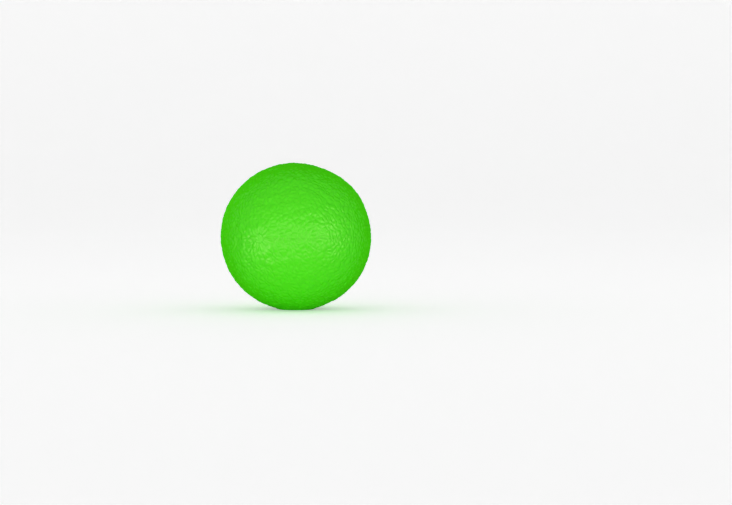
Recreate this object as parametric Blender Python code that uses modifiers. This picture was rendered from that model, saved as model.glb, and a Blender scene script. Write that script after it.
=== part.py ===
"""Gel-filled stress ball of 50 mm, at rest on a table.

A moulded skin in two half shells is welded round its equator over a soft gel core. The gel goes in
through a round port on the seam, which a barbed plug then closes. Units are metres and +Z is up. The
origin is the middle of the small flat on which the ball rests, and the port faces -Y.

Squeezing the ball slides the upper half shell down towards the lower one, along Z. The gel core, the
weld bead and the plug sink half as far, because they sit half way up.
"""

import math

import bmesh
import bpy

# The ball at rest. Its own weight flattens it: it is a little wider than it is tall, with a flat foot.
HALF_WIDTH = 0.0251
HALF_HEIGHT = 0.02465
FOOT_DEPTH = 0.0006  # how much of the full round the flat foot takes away
CENTRE_HEIGHT = HALF_HEIGHT - FOOT_DEPTH

WALL = 0.0026  # thickness of the skin
GAP = 0.0003  # clearance between neighbours

# The joint between the half shells: an outer land, a groove for the weld bead, and an inner tongue.
LAND_WIDTH = 0.0006
BEAD_WIDTH = 0.0006
TONGUE_WIDTH = 0.0008
TONGUE_RISE = 0.0010
GROOVE_DEPTH = 0.0012

# The port and its plug.
PORT_RADIUS = 0.0016
NECK_RADIUS = PORT_RADIUS - GAP
FACE_RECESS = 0.0001  # how far the plug's face lies below the skin's surface
FACE_EDGE = 0.0003  # the chamfer round the plug's face
BARB_RADIUS = 0.0026
BARB_TIP_RADIUS = 0.0014
BARB_INSET = WALL + 0.0005  # where the barb's shoulder lies, below the ball's surface
BARB_SHOULDER = 0.0005
BARB_LENGTH = 0.0018

# Facets.
SEGMENTS = 64
SHELL_STEPS = 12
CORE_STEPS = 10
CUTTER_SEGMENTS = 32
SHARP_ANGLE = math.radians(35)
MERGE_DISTANCE = 1e-6

# Each piece's colour (linear red, green and blue) and roughness.
FINISHES = {
    "skin_upper": ((0.075, 0.78, 0.012), 0.45),
    "skin_lower": ((0.070, 0.76, 0.012), 0.45),
    "fill_plug": ((0.085, 0.80, 0.016), 0.35),
    "weld_bead": ((0.050, 0.55, 0.020), 0.30),
    "gel_core": ((0.160, 0.72, 0.090), 0.15),
}


def clear_scene():
    for obj in list(bpy.data.objects):
        bpy.data.objects.remove(obj, do_unlink=True)


def new_collection(name):
    collection = bpy.data.collections.new(name)
    bpy.context.scene.collection.children.link(collection)
    return collection


def finish_material(name):
    """The piece's own Principled material."""
    colour, roughness = FINISHES[name]
    material = bpy.data.materials.new(name)
    material.use_nodes = True
    shader = material.node_tree.nodes["Principled BSDF"]
    shader.inputs["Base Color"].default_value = (*colour, 1.0)
    shader.inputs["Roughness"].default_value = roughness
    shader.inputs["Metallic"].default_value = 0.0
    material.diffuse_color = (*colour, 1.0)
    return material


def section(inset, high, low, steps):
    """(radius, height) points down the ball's section, inset from its surface, heights from its centre."""
    across = HALF_WIDTH - inset
    up = HALF_HEIGHT - inset
    first = math.asin(high / up)
    last = math.asin(low / up)
    angles = [first + (last - first) * i / steps for i in range(steps + 1)]
    return [(across * math.cos(angle), up * math.sin(angle)) for angle in angles]


def turned(name, profile, collection, closed=False):
    """A solid turned about its own Z axis from (radius, height) points that run down its outer side."""
    points = [(radius, 0.0, height) for radius, height in profile]
    edges = [(i, i + 1) for i in range(len(points) - 1)]
    if closed:
        edges.append((len(points) - 1, 0))
    outline = bpy.data.meshes.new(name + "_profile")
    outline.from_pydata(points, edges, [])
    obj = bpy.data.objects.new(name, outline)
    collection.objects.link(obj)
    screw = obj.modifiers.new("Turn", "SCREW")
    screw.axis = "Z"
    screw.steps = SEGMENTS
    screw.render_steps = SEGMENTS
    screw.use_merge_vertices = True
    screw.merge_threshold = MERGE_DISTANCE
    bpy.context.view_layer.update()
    depsgraph = bpy.context.evaluated_depsgraph_get()
    solid = bpy.data.meshes.new_from_object(obj.evaluated_get(depsgraph))
    solid.name = name
    solid.shade_smooth()
    solid.set_sharp_from_angle(angle=SHARP_ANGLE)
    obj.modifiers.clear()
    obj.data = solid
    bpy.data.meshes.remove(outline)
    obj.data.materials.append(finish_material(name))
    return obj


def port_cutter(name, radius, nearest, furthest, collection):
    """A cylinder along the port's axis, between two distances from the ball's centre."""
    mesh = bpy.data.meshes.new(name)
    shape = bmesh.new()
    bmesh.ops.create_cone(
        shape,
        cap_ends=True,
        segments=CUTTER_SEGMENTS,
        radius1=radius,
        radius2=radius,
        depth=furthest - nearest,
    )
    shape.to_mesh(mesh)
    shape.free()
    cutter = bpy.data.objects.new(name, mesh)
    cutter.location = (0.0, -(nearest + furthest) / 2, CENTRE_HEIGHT)
    cutter.rotation_euler = (math.radians(90), 0.0, 0.0)
    cutter.hide_render = True
    cutter.display_type = "WIRE"
    collection.objects.link(cutter)
    return cutter


def cut(obj, cutter):
    boolean = obj.modifiers.new("Cut " + cutter.name, "BOOLEAN")
    boolean.operation = "DIFFERENCE"
    boolean.solver = "EXACT"
    boolean.object = cutter


def upper_profile():
    """Upper half shell: outer surface, land, bead's room, then up the inner surface."""
    ceiling = TONGUE_RISE + GAP
    land = HALF_WIDTH - LAND_WIDTH
    inner = section(WALL, HALF_HEIGHT - WALL, ceiling, SHELL_STEPS)
    inner.reverse()
    outer = section(0.0, HALF_HEIGHT, GAP / 2, SHELL_STEPS)
    return outer + [(land, GAP / 2), (land, ceiling)] + inner


def lower_profile():
    """Lower half shell: up the inner surface, tongue, groove, land, then the outer surface and foot."""
    land = HALF_WIDTH - LAND_WIDTH
    inside = HALF_WIDTH - WALL
    tongue = inside + TONGUE_WIDTH
    inner = section(WALL, 0.0, WALL - CENTRE_HEIGHT, SHELL_STEPS)
    inner.reverse()
    rim = [
        (inside, TONGUE_RISE),
        (tongue, TONGUE_RISE),
        (tongue, -GROOVE_DEPTH),
        (land, -GROOVE_DEPTH),
        (land, -GAP / 2),
    ]
    outer = section(0.0, -GAP / 2, -CENTRE_HEIGHT, SHELL_STEPS)
    return [(0.0, WALL - CENTRE_HEIGHT)] + inner + rim + outer + [(0.0, -CENTRE_HEIGHT)]


def bead_profile():
    """The weld bead's section, which keeps clear of the tongue, the land and the groove's floor."""
    outer = HALF_WIDTH - LAND_WIDTH - GAP
    inner = outer - BEAD_WIDTH
    bottom = GAP - GROOVE_DEPTH
    return [(outer, TONGUE_RISE), (outer, bottom), (inner, bottom), (inner, TONGUE_RISE)]


def core_profile():
    inset = WALL + GAP
    outer = section(inset, HALF_HEIGHT - inset, inset - CENTRE_HEIGHT, 2 * CORE_STEPS)
    return outer + [(0.0, inset - CENTRE_HEIGHT)]


def plug_profile():
    """The plug from its face down to the tip of its barb, heights from the ball's surface."""
    shoulder = -BARB_INSET
    return [
        (0.0, -FACE_RECESS),
        (NECK_RADIUS - FACE_EDGE, -FACE_RECESS),
        (NECK_RADIUS, -FACE_RECESS - FACE_EDGE),
        (NECK_RADIUS, shoulder),
        (BARB_RADIUS, shoulder),
        (BARB_RADIUS, shoulder - BARB_SHOULDER),
        (BARB_TIP_RADIUS, shoulder - BARB_LENGTH),
        (0.0, shoulder - BARB_LENGTH),
    ]


def build():
    clear_scene()
    parts = new_collection("stress_ball")
    cutters = new_collection("cutters")

    beyond = HALF_WIDTH + GAP
    port = port_cutter("port", PORT_RADIUS, HALF_WIDTH - 2 * WALL, beyond, cutters)
    barb_tip = HALF_WIDTH - BARB_INSET - BARB_LENGTH
    pocket = port_cutter("barb_pocket", BARB_RADIUS + GAP, barb_tip - GAP, beyond, cutters)

    upper = turned("skin_upper", upper_profile(), parts)
    lower = turned("skin_lower", lower_profile(), parts)
    bead = turned("weld_bead", bead_profile(), parts, closed=True)
    core = turned("gel_core", core_profile(), parts)
    for piece in (upper, lower, bead, core):
        piece.location = (0.0, 0.0, CENTRE_HEIGHT)
    for piece in (upper, lower, bead):
        cut(piece, port)
    cut(core, pocket)

    plug = turned("fill_plug", plug_profile(), parts)
    plug.location = (0.0, -HALF_WIDTH, CENTRE_HEIGHT)
    plug.rotation_euler = (math.radians(90), 0.0, 0.0)


build()
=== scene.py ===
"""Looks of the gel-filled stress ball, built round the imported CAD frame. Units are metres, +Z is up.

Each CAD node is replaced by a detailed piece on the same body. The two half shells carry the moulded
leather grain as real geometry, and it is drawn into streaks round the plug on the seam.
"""

import math

import bmesh
import bpy
import numpy as np
from mathutils import Matrix, Vector
from mathutils.kdtree import KDTree


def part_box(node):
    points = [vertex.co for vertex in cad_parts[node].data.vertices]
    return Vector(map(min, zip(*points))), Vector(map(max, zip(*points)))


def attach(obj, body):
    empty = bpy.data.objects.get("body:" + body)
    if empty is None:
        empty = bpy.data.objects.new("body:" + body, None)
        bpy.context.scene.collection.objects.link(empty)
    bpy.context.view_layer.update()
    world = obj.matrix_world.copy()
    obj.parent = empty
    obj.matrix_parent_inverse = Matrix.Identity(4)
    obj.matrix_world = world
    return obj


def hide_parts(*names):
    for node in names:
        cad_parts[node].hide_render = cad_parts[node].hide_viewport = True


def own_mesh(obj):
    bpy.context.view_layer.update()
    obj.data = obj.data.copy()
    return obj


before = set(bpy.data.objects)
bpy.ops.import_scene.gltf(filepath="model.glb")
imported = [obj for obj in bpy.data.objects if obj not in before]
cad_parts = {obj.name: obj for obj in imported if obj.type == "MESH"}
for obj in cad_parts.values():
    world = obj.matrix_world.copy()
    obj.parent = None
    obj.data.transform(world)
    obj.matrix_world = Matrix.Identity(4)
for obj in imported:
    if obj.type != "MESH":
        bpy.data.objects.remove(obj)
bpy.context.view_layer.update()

MM = 0.001

# --- Sizes read from the frame -----------------------------------------------------------------------

upper_low, upper_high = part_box("skin_upper")
lower_low, lower_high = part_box("skin_lower")
plug_low, plug_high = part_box("fill_plug")
bead_low, bead_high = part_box("weld_bead")
core_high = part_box("gel_core")[1]

TOP = upper_high.z
MID_HEIGHT = TOP / 2
SEAM = (plug_low.z + plug_high.z) / 2
HALF_WIDTH = (lower_high.x - lower_low.x) / 2
HALF_HEIGHT = TOP - SEAM
CAD_GAP = 2 * (upper_low.z - SEAM)
WALL = TOP - core_high.z - CAD_GAP
LAND = HALF_WIDTH - bead_high.x - CAD_GAP  # the seam's outer face, from the surface in to the bead's groove
BEAD_WIDTH = 0.6 * MM
TONGUE_RISE = lower_high.z - SEAM
GROOVE = SEAM - bead_low.z + CAD_GAP  # depth of the bead's groove
TONGUE_INSET = LAND + BEAD_WIDTH + 2 * CAD_GAP
BEAD_MIDDLE = HALF_WIDTH - LAND - CAD_GAP - BEAD_WIDTH / 2
BARB_RADIUS = (plug_high.x - plug_low.x) / 2
PLUG_TIP = -plug_high.y  # distances from the ball's middle
PLUG_FACE = -plug_low.y

# --- Joints between the pieces, which are tighter than the CAD's clearances -----------------------------

FIT = 0.02 * MM
PLUG_FIT = 0.03 * MM  # the dish round the plug narrows the port a little, so this one is looser
SEAM_FIT = 0.003 * MM  # from the seam's middle to either half shell
LIP = ((0.002, 0.014), (0.006, 0.007), (0.015, 0.004))  # the seam's rounded edge: (inset, height) in mm
LIP_STRIP = 0.01  # height in mm of the strip between the dome and its lip
PORT_RADIUS = 1.5 * MM
PORT_SIDES = 64
PORT_TOOL_LENGTH = 8 * MM
SLIVER = 0.001 * MM  # vertices closer than this are one

# --- The moulded grain ----------------------------------------------------------------------------------

DOME_CELLS = 288  # cells along each side of a half shell's outer grid
INNER_CELLS = 72
GRAIN_DEPTH = 0.225 * MM
GRAIN_SKIN = 0.25 * MM  # how far below the surface the grain fades out
FOOT_FADE = 0.5 * MM  # height above the foot at which the grain is whole
PEBBLE = 1.7 * MM  # from one pebble's middle to the next
PEBBLE_JITTER = 0.25 * PEBBLE
PEBBLE_ROUND = 0.55 * PEBBLE  # how far a pebble's dome rises in from its crease
PEBBLE_SHARE = 0.87  # of the grain's depth
WRINKLE_SHARE = 0.20
WRINKLE_SHARPNESS = 0.7
WAVE_COUNT = 180
WARP_WAVES = (3.5 * MM, 6 * MM)
WARP = 0.20 * MM  # how far the creases wander
FINE_WAVES = (0.85 * MM, 1.1 * MM)
CLUMP_WAVES = (2.8 * MM, 4.4 * MM)
CLUMP = 0.045 * MM  # how far groups of pebbles rise and sink together
CLUMP_REST = 1.2  # sinks them all, in units of CLUMP, so that their tops stay inside the ball's size
SWELL_WAVES = (14 * MM, 30 * MM)
SWELL = 0.06 * MM
DRAWN_IN = 4.0 * MM  # the ring that the grain is drawn in from, round the port
DRAWN_REACH = 11 * MM
DRAWN_STOP = 0.3 * MM  # the streaks narrow no further than at this distance from the port's middle
PUCKER_DEPTH = 0.10 * MM
PUCKER_REACH = 2.4 * MM
HIDDEN_GRAIN = 0.6  # the height that the shells' inner faces give to their material
EVEN_GRAIN = 0.5  # the height that pieces without grain give
PEBBLE_SEED = 11
FINE_SEED = 12
SWELL_SEED = 13
WARP_SEEDS = (14, 15, 16)
CLUMP_SEED = 17

# --- The plug -------------------------------------------------------------------------------------------

PLUG_SIDES = 96
PLUG_CROWN = 0.05 * MM
FACE_RINGS = 13
FACE_STEP = 0.07  # from one ring of the face to the next, as a share of the neck's radius
FACE_EDGE = ((0.95, 0.0), (0.985, 0.02), (1.0, 0.06), (1.0, 0.6))  # (share of radius, depth in mm)
BARB_EDGE = ((0.98, 0.0), (1.0, 0.08), (1.0, 0.45), (0.93, 0.62))
TIP_RADIUS = 0.55 * BARB_RADIUS
TIP_FLAT = 0.85  # the tip's flat end, as a share of its radius
TIP_ROUND = 0.1 * MM
PLUG_GRAIN_DEPTH = 0.10 * MM
PLUG_GRAIN_START = 0.1 * MM  # the grain starts this far below the face
PLUG_GRAIN_FADE = 0.08 * MM

# --- The gel core and the weld bead -----------------------------------------------------------------------

CORE_BAND = 0.1 * MM  # from the seam's level to either dome of the core
POCKET_EDGE = 0.6 * MM
POCKET_SPACE = 0.2 * MM  # between the barb's tip and the pocket's floor
BEAD_STEPS = 288
BEAD_SIDES = 12
BEAD_FULLNESS = 1.25  # the cement is squeezed wider than the CAD's bead
BEAD_UNEVENNESS = 0.12
BEAD_WAVES = (7, 12, 17, 22)  # waves of width round the ring
BEAD_CORNERS = 0.6  # 1 is an ellipse, and less is squarer
BEAD_END_SPACE = 0.1 * MM
BEAD_SEED = 5

# --- Mesh tools -------------------------------------------------------------------------------------------


def cell_to_disc(u, v):
    """Maps the square -1..1 to the unit disc, keeping the cells even."""
    wide = np.abs(u) > np.abs(v)
    radius = np.where(wide, u, v)
    safe = np.where(radius == 0, 1.0, radius)
    turn = np.where(wide, v, u) / safe * (math.pi / 4)
    angle = np.where(wide, turn, math.pi / 2 - turn)
    return radius * np.cos(angle), radius * np.sin(angle)


def dome_points(x, y, inset, rim_height, side):
    """Puts disc points on a half ball that ends rim_height from the seam. side is 1 above it, -1 below."""
    across = HALF_WIDTH - inset
    up = HALF_HEIGHT - inset
    reach = np.hypot(x, y)
    safe = np.where(reach == 0, 1.0, reach)
    polar = reach * math.acos(rim_height / up)
    ring = across * np.sin(polar) / safe
    return np.stack([x * ring, y * ring, SEAM + side * up * np.cos(polar)], axis=1)


def add_dome(shape, cells, inset, rim_height, side):
    """Adds an even grid on a half ball to a bmesh, and returns its rim's vertices in order of angle."""
    grid = bmesh.ops.create_grid(shape, x_segments=cells, y_segments=cells, size=1.0)["verts"]
    flat = np.array([vert.co for vert in grid], float)
    x, y = cell_to_disc(flat[:, 0], flat[:, 1])
    for vert, point in zip(grid, dome_points(x, y, inset, rim_height, side)):
        vert.co = point
    rim = [vert for vert in grid if vert.is_boundary]
    return sorted(rim, key=lambda vert: math.atan2(vert.co.y, vert.co.x) % math.tau)


def add_ring(shape, count, radius, height):
    """Adds a ring of vertices round the Z axis, and returns them in order of angle."""
    angles = [math.tau * i / count for i in range(count)]
    return [shape.verts.new((radius * math.cos(a), radius * math.sin(a), height)) for a in angles]


def join_rings(shape, first, second):
    """Faces between two rings. The first may hold several vertices for each one of the second."""
    share = len(first) // len(second)
    count = len(first)
    for i, near in enumerate(second):
        following = second[(i + 1) % len(second)]
        if share == 1:
            shape.faces.new((first[i], first[(i + 1) % count], following, near))
            continue
        for k in range(share):
            start = first[i * share + k]
            end = first[(i * share + k + 1) % count]
            shape.faces.new((start, end, near if k < share / 2 else following))
        shape.faces.new((first[i * share + share // 2], following, near))


def close_ring(shape, ring, point):
    """Faces from a ring to one point."""
    for i, vert in enumerate(ring):
        shape.faces.new((vert, ring[(i + 1) % len(ring)], point))


def finished_mesh(shape, name):
    """A smooth mesh from a bmesh, with its faces outward."""
    bmesh.ops.recalc_face_normals(shape, faces=shape.faces)
    mesh = bpy.data.meshes.new(name)
    shape.to_mesh(mesh)
    shape.free()
    mesh.shade_smooth()
    return mesh


def new_object(name, mesh):
    obj = bpy.data.objects.new(name, mesh)
    bpy.context.scene.collection.objects.link(obj)
    return obj


def dress(obj, material):
    obj.data.materials.clear()
    obj.data.materials.append(material)


def get_points(mesh):
    points = np.empty(len(mesh.vertices) * 3)
    mesh.vertices.foreach_get("co", points)
    return points.reshape(-1, 3)


def set_points(mesh, points):
    mesh.vertices.foreach_set("co", points.ravel())
    mesh.update()


def keep_values(mesh, grain_values, points):
    """Stores what the materials read: the grain's height, and each point's place at rest in mm."""
    height = mesh.attributes.new("grain", "FLOAT", "POINT")
    height.data.foreach_set("value", grain_values.astype(np.float32))
    place = mesh.attributes.new("place", "FLOAT_VECTOR", "POINT")
    place.data.foreach_set("vector", (points / MM).astype(np.float32).ravel())


def port_tool():
    """A cylinder along the port's axis, through the skin."""
    shape = bmesh.new()
    bmesh.ops.create_cone(
        shape,
        cap_ends=True,
        segments=PORT_SIDES,
        radius1=PORT_RADIUS,
        radius2=PORT_RADIUS,
        depth=PORT_TOOL_LENGTH,
    )
    mesh = bpy.data.meshes.new("port_tool")
    shape.to_mesh(mesh)
    shape.free()
    tool = new_object("port_tool", mesh)
    tool.location = (0.0, -HALF_WIDTH, SEAM)
    tool.rotation_euler = (math.pi / 2, 0.0, 0.0)
    return tool


def bore(obj, tool):
    """Cuts the port out of a piece for good."""
    cut = obj.modifiers.new("Port", "BOOLEAN")
    cut.object = tool
    cut.solver = "EXACT"
    bpy.context.view_layer.update()
    shown = obj.evaluated_get(bpy.context.evaluated_depsgraph_get())
    bored = bpy.data.meshes.new_from_object(shown)
    shape = bmesh.new()
    shape.from_mesh(bored)
    bmesh.ops.remove_doubles(shape, verts=shape.verts, dist=SLIVER)
    shape.to_mesh(bored)
    shape.free()
    obj.modifiers.clear()
    obj.data = bored


# --- Grain ------------------------------------------------------------------------------------------------


def waves(seed, lengths):
    """Plane waves of many directions, whose lengths lie between the two given."""
    draw = np.random.default_rng(seed)
    ways = draw.normal(size=(WAVE_COUNT, 3))
    ways /= np.linalg.norm(ways, axis=1)[:, None]
    numbers = math.tau / draw.uniform(lengths[0], lengths[1], WAVE_COUNT)
    return ways * numbers[:, None], draw.uniform(0, math.tau, WAVE_COUNT)


def field(points, wave_set):
    """The waves' sum at each point, with unit variance."""
    total = np.zeros(len(points))
    for number, phase in zip(*wave_set):
        total += np.cos(points @ number + phase)
    return total / math.sqrt(WAVE_COUNT / 2)


def smooth_step(x):
    x = np.clip(x, 0, 1)
    return x * x * (3 - 2 * x)


def pebble_tree():
    """The pebbles' middles: a spiral spread evenly over the ball, each moved a little at random."""
    draw = np.random.default_rng(PEBBLE_SEED)
    ball_area = 4 * math.pi * HALF_WIDTH**2
    pebble_area = math.sqrt(3) / 2 * PEBBLE**2
    count = round(ball_area / pebble_area)
    steps = np.arange(count) + 0.5
    height = 1 - 2 * steps / count
    ring = np.sqrt(1 - height**2)
    turn = math.pi * (1 + math.sqrt(5)) * steps
    middles = HALF_WIDTH * np.stack([ring * np.cos(turn), ring * np.sin(turn), height], axis=1)
    middles += draw.normal(scale=PEBBLE_JITTER, size=middles.shape)
    tree = KDTree(count)
    for index, middle in enumerate(middles):
        tree.insert(middle, index)
    tree.balance()
    return tree


FINE = waves(FINE_SEED, FINE_WAVES)
CLUMPS = waves(CLUMP_SEED, CLUMP_WAVES)
SWELLS = waves(SWELL_SEED, SWELL_WAVES)
WARPS = [waves(seed, WARP_WAVES) for seed in WARP_SEEDS]
PEBBLES = pebble_tree()


def drawn_in(points):
    """The grain's own space: round the port its circles stay wide, so the pattern runs in as streaks."""
    x = points[:, 0]
    z = points[:, 2] - SEAM
    reach = np.maximum(np.hypot(x, z), DRAWN_STOP)
    hold = DRAWN_IN * (1 - smooth_step(reach / DRAWN_REACH)) * (points[:, 1] < 0)
    spread = np.hypot(reach, hold) / reach
    return np.stack([x * spread, points[:, 1], SEAM + z * spread], axis=1)


def crease_distance(place):
    """How far each point lies from the crease between its own pebble and the next."""
    centred = place - np.array([0.0, 0.0, SEAM])
    wander = np.stack([field(place, warp) for warp in WARPS], axis=1)
    found = np.empty(len(place))
    for index, point in enumerate(centred + WARP * wander):
        (own, _, near), (other, _, far) = PEBBLES.find_n(point, 2)
        found[index] = (far**2 - near**2) / (2 * (other - own).length)
    return found


def pebbled(place):
    """Leather grain from 0, a crease, to 1, the top of a pebble."""
    inward = np.clip(crease_distance(place) / PEBBLE_ROUND, 0, 1)
    pebbles = 1 - (1 - inward) ** 2
    wrinkles = 1 - np.exp(-WRINKLE_SHARPNESS * np.abs(field(place, FINE)))
    return np.clip(PEBBLE_SHARE * pebbles + WRINKLE_SHARE * wrinkles, 0, 1)


def pucker(points):
    """The skin's small dish round the plug, in metres below the surface."""
    reach = np.hypot(points[:, 0], points[:, 2] - SEAM)
    dish = PUCKER_DEPTH * np.exp(-((reach / PUCKER_REACH) ** 2))
    return dish * (points[:, 1] < 0)


def emboss(mesh):
    """Moves the outer surface's vertices in by the grain, the clumps, the swell and the pucker."""
    points = get_points(mesh)
    centre = np.array([0.0, 0.0, SEAM])
    radii = np.array([HALF_WIDTH, HALF_WIDTH, HALF_HEIGHT])
    share = np.linalg.norm((points - centre) / radii, axis=1)
    depth = (1 - share) * HALF_WIDTH
    outer = 1 - smooth_step(depth / GRAIN_SKIN)
    normals = (points - centre) / radii**2
    normals /= np.linalg.norm(normals, axis=1)[:, None]
    height = pebbled(drawn_in(points))
    foot = smooth_step(points[:, 2] / FOOT_FADE)
    rise = SWELL * field(points, SWELLS) + CLUMP * (field(points, CLUMPS) - CLUMP_REST)
    push = (rise - GRAIN_DEPTH * (1 - height)) * foot - pucker(points)
    moved = points + normals * (push * outer)[:, None]
    moved[:, 2] = np.maximum(moved[:, 2], 0.0)
    set_points(mesh, moved)
    keep_values(mesh, np.where(outer > 0.5, height, HIDDEN_GRAIN), points)


# --- Pieces -----------------------------------------------------------------------------------------------


def half_shell(name, side):
    """One half of the skin: outer dome, rounded lip, the seam's joint, and the inner dome."""
    shape = bmesh.new()
    rim_height = (LIP[0][1] + LIP_STRIP) * MM
    inner_count = 4 * INNER_CELLS  # as many as the inner dome's rim has
    last = add_dome(shape, DOME_CELLS, 0.0, rim_height, side)
    for inset, height in LIP:
        ring = add_ring(shape, len(last), HALF_WIDTH - inset * MM, SEAM + side * height * MM)
        join_rings(shape, last, ring)
        last = ring
    if side > 0:
        steps = [(LAND, SEAM_FIT), (LAND, TONGUE_RISE + CAD_GAP)]
        inner_height = TONGUE_RISE + CAD_GAP
    else:
        steps = [
            (LAND, -SEAM_FIT),
            (LAND, -GROOVE),
            (TONGUE_INSET, -GROOVE),
            (TONGUE_INSET, TONGUE_RISE),
            (WALL, TONGUE_RISE),
        ]
        inner_height = 0.0
    for inset, height in steps:
        ring = add_ring(shape, inner_count, HALF_WIDTH - inset, SEAM + height)
        join_rings(shape, last, ring)
        last = ring
    inner = add_dome(shape, INNER_CELLS, WALL, inner_height, side)
    join_rings(shape, last, inner)
    return finished_mesh(shape, name)


def skin_piece(node, side, tool, material):
    """One half of the skin, bored for the plug and grained. side is 1 above the seam, -1 below."""
    shell = new_object(node + "_moulded", half_shell(node, side))
    bore(shell, tool)
    emboss(shell.data)
    dress(shell, material)
    return shell


def plug_profile():
    """The plug's outline, heights from the ball's centre outward along the port."""
    neck = PORT_RADIUS - PLUG_FIT
    shoulder = HALF_WIDTH - WALL - CAD_GAP
    shares = [FACE_STEP * i for i in range(1, FACE_RINGS + 1)]
    outline = [(0.0, PLUG_FACE + PLUG_CROWN)]
    outline += [(neck * share, PLUG_FACE + PLUG_CROWN * (1 - share * share)) for share in shares]
    outline += [(neck * share, PLUG_FACE - depth * MM) for share, depth in FACE_EDGE]
    outline += [(neck, shoulder)]
    outline += [(share * BARB_RADIUS, shoulder - depth * MM) for share, depth in BARB_EDGE]
    outline += [(TIP_RADIUS, PLUG_TIP + TIP_ROUND), (TIP_FLAT * TIP_RADIUS, PLUG_TIP), (0.0, PLUG_TIP)]
    return outline


def turned_mesh(name, profile, sides):
    """A closed solid turned from (radius, height) points, from its axis on top to its axis below."""
    shape = bmesh.new()
    top = shape.verts.new((0, 0, profile[0][1]))
    bottom = shape.verts.new((0, 0, profile[-1][1]))
    rings = [add_ring(shape, sides, radius, height) for radius, height in profile[1:-1]]
    for first, second in zip(rings, rings[1:]):
        join_rings(shape, first, second)
    close_ring(shape, rings[0], top)
    close_ring(shape, rings[-1], bottom)
    return finished_mesh(shape, name)


def plug_piece(name, material):
    """The plug: a crowned, grained face, a neck and a barb, laid along the port."""
    mesh = turned_mesh(name, plug_profile(), PLUG_SIDES)
    mesh.transform(Matrix.Translation((0.0, 0.0, SEAM)) @ Matrix.Rotation(math.pi / 2, 4, "X"))
    points = get_points(mesh)
    height = pebbled(points)
    on_face = smooth_step((-points[:, 1] - PLUG_FACE + PLUG_GRAIN_START) / PLUG_GRAIN_FADE)
    points[:, 1] += PLUG_GRAIN_DEPTH * (1 - height) * on_face
    set_points(mesh, points)
    keep_values(mesh, height, points)
    plug = new_object(name, mesh)
    dress(plug, material)
    return plug


def core_piece(name, material):
    """The gel: two domes that meet at the seam's level, flat under the foot and dented round the barb."""
    shape = bmesh.new()
    inset = WALL + FIT
    rims = [add_dome(shape, INNER_CELLS, inset, CORE_BAND, side) for side in (1, -1)]
    join_rings(shape, *rims)
    mesh = finished_mesh(shape, name)
    points = get_points(mesh)
    reach = np.hypot(points[:, 0], points[:, 2] - SEAM)
    pocket = (points[:, 1] < 0) * (1 - smooth_step((reach - BARB_RADIUS) / POCKET_EDGE))
    pocket_floor = -(PLUG_TIP - POCKET_SPACE)
    points[:, 1] += pocket * (pocket_floor - points[:, 1])
    points[:, 2] = np.maximum(points[:, 2], inset)
    set_points(mesh, points)
    keep_values(mesh, np.full(len(points), EVEN_GRAIN), points)
    core = new_object(name, mesh)
    dress(core, material)
    return core


def rounded(value):
    """Shapes a sine or cosine so that the bead's section has rounded corners."""
    return math.copysign(abs(value) ** BEAD_CORNERS, value)


def bead_section(shape, angle, half_width):
    """The bead's section at one angle round the ball, as a ring of vertices."""
    low = -GROOVE + FIT
    high = TONGUE_RISE
    ring = []
    for k in range(BEAD_SIDES):
        turn = math.tau * k / BEAD_SIDES
        radius = BEAD_MIDDLE + half_width * rounded(math.cos(turn))
        height = (high + low) / 2 + (high - low) / 2 * rounded(math.sin(turn))
        ring.append(shape.verts.new((radius * math.cos(angle), radius * math.sin(angle), SEAM + height)))
    return ring


def bead_piece(name, material):
    """The weld bead: an uneven rounded ring in the seam's groove, open where the port passes."""
    half_open = math.asin((PORT_RADIUS + BEAD_END_SPACE) / BEAD_MIDDLE)
    draw = np.random.default_rng(BEAD_SEED)
    phases = draw.uniform(0, math.tau, len(BEAD_WAVES))
    shape = bmesh.new()
    rings = []
    for i in range(BEAD_STEPS + 1):
        angle = -math.pi / 2 + half_open + (math.tau - 2 * half_open) * i / BEAD_STEPS
        swings = [math.sin(number * angle + phase) for number, phase in zip(BEAD_WAVES, phases)]
        uneven = sum(swings) / len(BEAD_WAVES)
        half_width = BEAD_WIDTH / 2 * (BEAD_FULLNESS + BEAD_UNEVENNESS * uneven)
        rings.append(bead_section(shape, angle, half_width))
    for first, second in zip(rings, rings[1:]):
        join_rings(shape, first, second)
    shape.faces.new(rings[0])
    shape.faces.new(rings[-1])
    mesh = finished_mesh(shape, name)
    points = get_points(mesh)
    keep_values(mesh, np.full(len(points), EVEN_GRAIN), points)
    bead = new_object(name, mesh)
    dress(bead, material)
    return bead


# --- Materials --------------------------------------------------------------------------------------------

WHITE = (1.0, 1.0, 1.0, 1.0)
# The skin's crease colour is painted shade: a darker copy of its crest's green, laid in the grain's
# creases.
SKIN_CREASE_SHADE = (0.056, 0.630, 0.005)
SKIN_CREST = (0.061, 0.655, 0.005)
SKIN_WARM = (0.067, 0.645, 0.006)
SKIN_ROUGHNESS = 0.29
# The plug's crease colour is painted shade too, laid in its grain's creases.
PLUG_CREASE_SHADE = (0.058, 0.640, 0.006)
PLUG_CREST = (0.063, 0.665, 0.007)
PLUG_ROUGHNESS = 0.28
WELD_CREASE = (0.03, 0.40, 0.01)
WELD_CREST = (0.06, 0.56, 0.02)
WELD_WARM = (0.08, 0.50, 0.02)
WELD_ROUGHNESS = 0.28
CLOUD_SCALE = 0.11  # the scales of the noises are in waves to the millimetre
FLECK_SCALE = 3.2
PORE_SCALE = 7.0
PORE_STRENGTH = 0.25
PORE_DEPTH = 0.03 * MM
SHEEN_TINT = (0.85, 1.0, 0.42)
RUBBER_SCATTER = 0.15
RUBBER_SCATTER_COLOUR = (0.4, 1.0, 0.25)
RUBBER_SCATTER_DEPTH = 1.2 * MM
CREASE_ROUGHNESS = 0.10  # what a crease's roughness has over a crest's
GEL_DEEP = (0.05, 0.42, 0.03)
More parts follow.
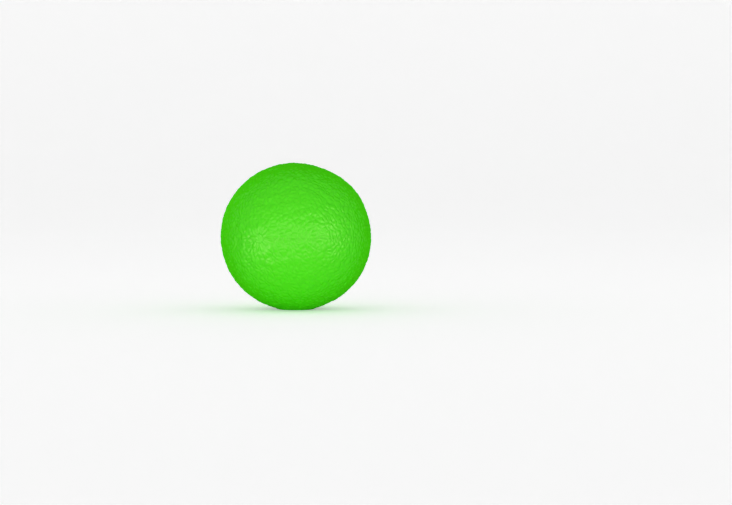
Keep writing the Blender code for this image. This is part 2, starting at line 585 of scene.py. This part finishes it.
GEL_PALE = (0.20, 0.80, 0.12)
GEL_THREAD = (0.55, 0.95, 0.45)
GEL_CLOUD_SCALE = 0.2
GEL_THREAD_SCALE = 0.6
GEL_SCATTER = 0.6
GEL_SCATTER_DEPTH = 4 * MM
RIPPLE_SCALE = 0.5
RIPPLE_STRENGTH = 0.3
RIPPLE_DEPTH = 0.2 * MM
PAPER_DARK = (0.92, 0.92, 0.92)
PAPER_LIGHT = (0.95, 0.95, 0.95)
PAPER_FIBRES = 900.0  # waves to the metre
PAPER_ROUGHNESS = 0.9
PAPER_SHINE = 0.1

# What Nodes.spread maps a value from and to: its low and high, then the results for those two.
CREASE_SHADE_SPREAD = (0.05, 0.80, 0.0, 1.0)  # the grain's height to the share of the crest's colour, so the creases get painted shade
CLOUD_SPREAD = (0.35, 0.65, 0.0, 0.30)  # the clouds to the share of the warm colour
FLECK_SPREAD = (0.55, 0.80, 0.0, 0.12)  # the flecks to the share of the crest's colour
PATCH_SPREAD = (0.3, 0.7, -0.03, 0.05)  # the flecks to what they add to the roughness
SHEEN_SPREAD = (0.03, 0.50, 0.66, 0.0)  # face on to edge on: pebbled rubber's rough limb hardly mirrors
THREAD_SPREAD = (0.0, 0.06, 0.35, 0.0)  # the distance from a thread to the share of its colour
GEL_SATIN_SPREAD = (0.3, 0.7, 0.08, 0.20)  # the gel's clouds to its roughness
GLOW_SPREAD = (0.2, 1.3, 0.33, 0.25)  # metres from the ball to the light that keeps the paper evenly pale


class Nodes:
    """A small helper that adds and links a material's nodes."""

    def __init__(self, name):
        self.material = bpy.data.materials.new(name)
        self.material.use_nodes = True
        self.tree = self.material.node_tree
        self.shader = self.tree.nodes["Principled BSDF"]

    def add(self, kind, **settings):
        node = self.tree.nodes.new(kind)
        for key, value in settings.items():
            setattr(node, key, value)
        return node

    def feed(self, node, socket, value):
        """Gives a socket a number, a colour or another node's output."""
        if isinstance(value, bpy.types.NodeSocket):
            self.tree.links.new(value, node.inputs[socket])
        else:
            node.inputs[socket].default_value = value

    def finish(self, values):
        """Feeds the shader's sockets by name, and returns the material."""
        for socket, value in values.items():
            self.feed(self.shader, socket, value)
        return self.material

    def attribute(self, name, output):
        return self.add("ShaderNodeAttribute", attribute_name=name).outputs[output]

    def noise(self, place, scale, detail=3.0, roughness=0.5):
        node = self.add("ShaderNodeTexNoise")
        self.feed(node, "Vector", place)
        self.feed(node, "Scale", scale)
        self.feed(node, "Detail", detail)
        self.feed(node, "Roughness", roughness)
        return node.outputs["Fac"]

    def spread(self, value, low, high, to_low, to_high):
        """Maps low..high to to_low..to_high, and goes no further than either."""
        node = self.add("ShaderNodeMapRange")
        self.feed(node, "Value", value)
        self.feed(node, "From Min", low)
        self.feed(node, "From Max", high)
        self.feed(node, "To Min", to_low)
        self.feed(node, "To Max", to_high)
        return node.outputs["Result"]

    def mix(self, share, first, second):
        """Mixes two colours. A Mix node has its colours on inputs 6 and 7 and output 2."""
        node = self.add("ShaderNodeMix", data_type="RGBA")
        self.feed(node, 0, share)
        self.feed(node, 6, first)
        self.feed(node, 7, second)
        return node.outputs[2]

    def sum(self, first, second):
        node = self.add("ShaderNodeMath", operation="ADD")
        self.feed(node, 0, first)
        self.feed(node, 1, second)
        return node.outputs[0]

    def bump(self, height, strength, distance):
        node = self.add("ShaderNodeBump")
        self.feed(node, "Height", height)
        self.feed(node, "Strength", strength)
        self.feed(node, "Distance", distance)
        return node.outputs["Normal"]


def opaque(colour):
    return (*colour, 1.0)


def rubber(name, crease, crest, warm, roughness):
    """Satin coloured rubber: painted shade darkens its creases, and it is cloudy in the mass, with fine
    flecks and pores.
    """
    nodes = Nodes(name)
    place = nodes.attribute("place", "Vector")
    height = nodes.attribute("grain", "Fac")
    clouds = nodes.noise(place, CLOUD_SCALE, detail=2.0)
    flecks = nodes.noise(place, FLECK_SCALE, detail=4.0, roughness=0.6)
    pores = nodes.noise(place, PORE_SCALE, detail=3.0, roughness=0.6)
    # The crease colour mixed in by the grain's height is painted shade in the creases.
    body = nodes.mix(nodes.spread(height, *CREASE_SHADE_SPREAD), opaque(crease), opaque(crest))
    body = nodes.mix(nodes.spread(clouds, *CLOUD_SPREAD), body, opaque(warm))
    body = nodes.mix(nodes.spread(flecks, *FLECK_SPREAD), body, opaque(crest))
    satin = nodes.spread(height, 0.0, 1.0, roughness + CREASE_ROUGHNESS, roughness)
    patches = nodes.spread(flecks, *PATCH_SPREAD)
    facing = nodes.add("ShaderNodeLayerWeight").outputs["Facing"]
    return nodes.finish({
        "Base Color": body,
        "Roughness": nodes.sum(satin, patches),
        "Specular IOR Level": nodes.spread(facing, *SHEEN_SPREAD),
        "Specular Tint": opaque(SHEEN_TINT),
        "Subsurface Weight": RUBBER_SCATTER,
        "Subsurface Radius": RUBBER_SCATTER_COLOUR,
        "Subsurface Scale": RUBBER_SCATTER_DEPTH,
        "Normal": nodes.bump(pores, PORE_STRENGTH, PORE_DEPTH),
    })


def skin_rubber():
    return rubber("moulded_green_skin", SKIN_CREASE_SHADE, SKIN_CREST, SKIN_WARM, SKIN_ROUGHNESS)


def plug_rubber():
    return rubber("moulded_green_plug", PLUG_CREASE_SHADE, PLUG_CREST, SKIN_WARM, PLUG_ROUGHNESS)


def weld_rubber():
    return rubber("cured_weld", WELD_CREASE, WELD_CREST, WELD_WARM, WELD_ROUGHNESS)


def gel():
    """Green gel: glossy, deep and rippled, with pale threads where it set in cells."""
    nodes = Nodes("cast_gel")
    place = nodes.attribute("place", "Vector")
    depths = nodes.noise(place, GEL_CLOUD_SCALE, detail=3.0)
    ripples = nodes.noise(place, RIPPLE_SCALE, detail=2.0)
    cells = nodes.add("ShaderNodeTexVoronoi", feature="DISTANCE_TO_EDGE")
    nodes.feed(cells, "Vector", place)
    nodes.feed(cells, "Scale", GEL_THREAD_SCALE)
    threads = nodes.spread(cells.outputs["Distance"], *THREAD_SPREAD)
    body = nodes.mix(depths, opaque(GEL_DEEP), opaque(GEL_PALE))
    return nodes.finish({
        "Base Color": nodes.mix(threads, body, opaque(GEL_THREAD)),
        "Roughness": nodes.spread(depths, *GEL_SATIN_SPREAD),
        "Subsurface Weight": GEL_SCATTER,
        "Subsurface Scale": GEL_SCATTER_DEPTH,
        "Normal": nodes.bump(ripples, RIPPLE_STRENGTH, RIPPLE_DEPTH),
    })


def paper():
    """Matt white paper with fine fibres and a faint light of its own."""
    nodes = Nodes("studio_paper")
    place = nodes.add("ShaderNodeTexCoord").outputs["Object"]
    fibres = nodes.noise(place, PAPER_FIBRES, detail=3.0)
    reach = nodes.add("ShaderNodeVectorMath", operation="LENGTH")
    nodes.feed(reach, 0, place)
    return nodes.finish({
        "Base Color": nodes.mix(fibres, opaque(PAPER_DARK), opaque(PAPER_LIGHT)),
        "Roughness": PAPER_ROUGHNESS,
        "Specular IOR Level": PAPER_SHINE,
        "Emission Color": WHITE,
        "Emission Strength": nodes.spread(reach.outputs["Value"], *GLOW_SPREAD),
    })


# --- Studio -----------------------------------------------------------------------------------------------

BALL_MIDDLE = Vector((0, 0, MID_HEIGHT))
CAMERA_AZIMUTH = 26.0  # degrees from the front, at -Y, towards +X
CAMERA_ELEVATION = 1.8
CAMERA_CLIP = 0.01
LENS = 85.0  # mm, like the sensor's width
SENSOR = 36.0
BALL_WIDTH_SHARE = 0.206557  # of the picture's width
BALL_LEFT_SHARE = 0.095628  # how far left of the picture's middle the ball's middle lies
BALL_UP_SHARE = 0.022541
DISH_RADIUS = 1.1
DISH_FILLET = 0.5
DISH_WALL = 1.0
DISH_RINGS = (0.1, 0.3, 0.6, 1.0)  # of the radius
DISH_STEPS = 12
DISH_SIDES = 96
AIR_LIGHT = 0.57
SPARKLE_SIZE = (0.27, 0.27)
FILL_SIZE = (1.6, 0.6)
KEY_SIZE = (0.5, 0.5)
BACK_SIZE = (0.32, 0.32)

# Each lamp: name, degrees round from the camera, degrees up, distance, size, power in watts, and kind.
LAMPS = (
    ("left_sparkle", -54, -10, 0.8, SPARKLE_SIZE, 1.9, "gloss"),
    ("right_sparkle", 52, 4, 0.8, SPARKLE_SIZE, 1.7, "gloss"),
    ("front_fill", 0, 0, 1.4, FILL_SIZE, 8.0, "both"),
    ("front_key", 1, -9, 1.4, KEY_SIZE, 5.5, "diffuse"),
    ("back_left_softbox", -142, 18, 0.9, BACK_SIZE, 3.0, "both"),
    ("back_right_softbox", 158, 18, 0.9, BACK_SIZE, 3.0, "both"),
)


def direction(azimuth, elevation):
    """From the ball towards a place round it, both in degrees. Azimuth 0 is at -Y, and grows towards +X."""
    turn = math.radians(azimuth)
    rise = math.radians(elevation)
    flat = math.cos(rise)
    return Vector((math.sin(turn) * flat, -math.cos(turn) * flat, math.sin(rise)))


def aim(obj, target):
    obj.rotation_mode = "QUATERNION"
    obj.rotation_quaternion = (target - obj.location).to_track_quat("-Z", "Y")


def add_camera():
    """The photo's view of the ball, nearly level and a little from the right of the plug."""
    width = 2 * HALF_WIDTH / BALL_WIDTH_SHARE
    back = direction(CAMERA_AZIMUTH, CAMERA_ELEVATION)
    right = direction(CAMERA_AZIMUTH + 90, 0)
    up = back.cross(right)
    target = BALL_MIDDLE + right * (width * BALL_LEFT_SHARE) - up * (width * BALL_UP_SHARE)
    data = bpy.data.cameras.new("camera")
    data.lens = LENS
    data.sensor_width = SENSOR
    data.clip_start = CAMERA_CLIP
    camera = bpy.data.objects.new("camera", data)
    camera.location = target + back * (width * LENS / SENSOR)
    bpy.context.scene.collection.objects.link(camera)
    aim(camera, target)
    bpy.context.scene.camera = camera


def add_lamp(lit, name, azimuth, elevation, distance, size, power, kind):
    """A soft rectangular light, aimed at the ball. It lights and is shadowed by one collection alone.

    kind is "both", or "gloss" for a light seen only in reflections, or "diffuse" for one that isn't.
    """
    data = bpy.data.lights.new(name, "AREA")
    data.shape = "RECTANGLE"
    data.size, data.size_y = size
    data.energy = power
    lamp = bpy.data.objects.new(name, data)
    lamp.location = direction(CAMERA_AZIMUTH + azimuth, elevation) * distance + BALL_MIDDLE
    lamp.visible_camera = False
    lamp.visible_glossy = kind != "diffuse"
    lamp.visible_diffuse = kind != "gloss"
    lamp.light_linking.receiver_collection = lit
    lamp.light_linking.blocker_collection = lit
    bpy.context.scene.collection.objects.link(lamp)
    aim(lamp, BALL_MIDDLE)


def dish_mesh(name):
    """A wide dish: a floor whose edge curves up into a wall all round."""
    profile = [(DISH_RADIUS * share, 0.0) for share in DISH_RINGS]
    for i in range(1, DISH_STEPS + 1):
        turn = math.pi / 2 * i / DISH_STEPS
        profile.append((DISH_RADIUS + DISH_FILLET * math.sin(turn), DISH_FILLET * (1 - math.cos(turn))))
    profile.append((DISH_RADIUS + DISH_FILLET, DISH_WALL))
    shape = bmesh.new()
    centre = shape.verts.new((0, 0, 0))
    rings = [add_ring(shape, DISH_SIDES, radius, height) for radius, height in profile]
    for first, second in zip(rings, rings[1:]):
        join_rings(shape, first, second)
    close_ring(shape, rings[0], centre)
    for face in shape.faces:
        face.normal_update()
        if face.normal.z < 0:
            face.normal_flip()
    mesh = bpy.data.meshes.new(name)
    shape.to_mesh(mesh)
    shape.free()
    mesh.shade_smooth()
    return mesh


def add_floor():
    """The paper dish. Its own light falls on itself alone."""
    floor = new_object("studio_floor", dish_mesh("studio_floor"))
    dress(floor, paper())
    paper_only = bpy.data.collections.new("paper_only")
    paper_only.objects.link(floor)
    floor.light_linking.receiver_collection = paper_only


def add_air():
    """Even white light from all round."""
    world = bpy.data.worlds.new("studio_air")
    world.use_nodes = True
    background = world.node_tree.nodes["Background"]
    background.inputs["Color"].default_value = WHITE
    background.inputs["Strength"].default_value = AIR_LIGHT
    bpy.context.scene.world = world


def add_studio(pieces):
    """Camera, floor and light. The lamps light the ball's pieces alone, so the floor stays even."""
    bpy.context.scene.view_settings.view_transform = "Standard"
    add_camera()
    add_floor()
    add_air()
    ball_only = bpy.data.collections.new("ball_only")
    for piece in pieces:
        ball_only.objects.link(piece)
    for lamp in LAMPS:
        add_lamp(ball_only, *lamp)


# --- The ball ---------------------------------------------------------------------------------------------

# Each half of the skin: node, side of the seam, body, and the height of its own end of the ball.
SKIN_HALVES = (
    ("skin_upper", 1, "upper", TOP),
    ("skin_lower", -1, "lower", 0.0),
)


def ride_and_flatten(piece, node, body):
    """The piece stands for its CAD node and rides on that body."""
    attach(piece, body)
    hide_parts(node)
    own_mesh(piece)


def add_skin():
    """Both halves, each riding on its own body."""
    material = skin_rubber()
    tool = port_tool()
    shells = []
    for node, side, body, anchor_height in SKIN_HALVES:
        shell = skin_piece(node, side, tool, material)
        ride_and_flatten(shell, node, body)
        shells.append(shell)
    bpy.data.objects.remove(tool)
    return shells


def add_plug():
    plug = plug_piece("fill_plug_moulded", plug_rubber())
    ride_and_flatten(plug, "fill_plug", "middle")
    return plug


def add_core():
    core = core_piece("gel_core_cast", gel())
    ride_and_flatten(core, "gel_core", "middle")
    return core


def add_bead():
    bead = bead_piece("weld_bead_cured", weld_rubber())
    ride_and_flatten(bead, "weld_bead", "middle")
    return bead


add_studio([*add_skin(), add_plug(), add_core(), add_bead()])
